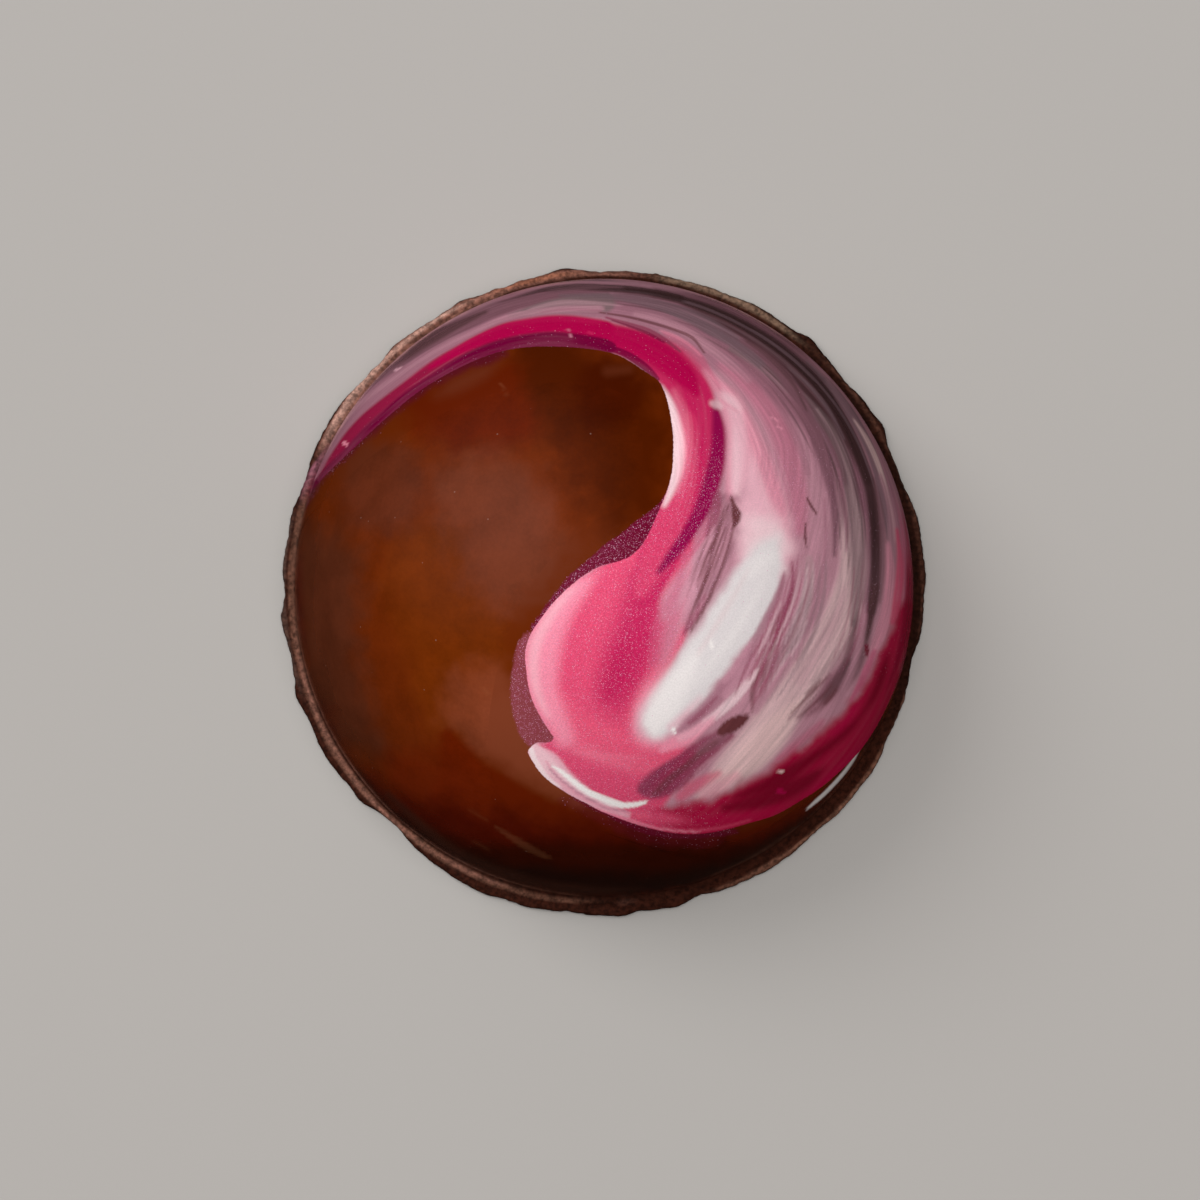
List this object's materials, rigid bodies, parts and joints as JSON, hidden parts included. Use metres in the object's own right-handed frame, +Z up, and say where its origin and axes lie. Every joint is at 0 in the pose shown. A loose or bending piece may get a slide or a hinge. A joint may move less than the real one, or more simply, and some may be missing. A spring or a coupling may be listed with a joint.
{
  "type": "chocolate praline",
  "caption": "Round moulded chocolate praline with a tall glossy dome, brushed magenta and white colouring, and a thin broken foot of scraped chocolate round its base.",
  "frame": {"origin": "middle of the flat underside, on the surface that the praline stands on", "axes": "+Z up, out of the top of the dome; +Y towards the side where the magenta band runs along the edge, +X towards the side where the pale streaks run down"},
  "size_m": [0.0292, 0.0294, 0.0156],
  "materials": {
    "chocolate": "glossy tempered milk chocolate with a brushed coat of magenta and white cocoa butter, flush with the dome; the foot is matt where it broke"
  },
  "bodies": {
    "root": {"praline": "chocolate"}
  },
  "joints": []
}
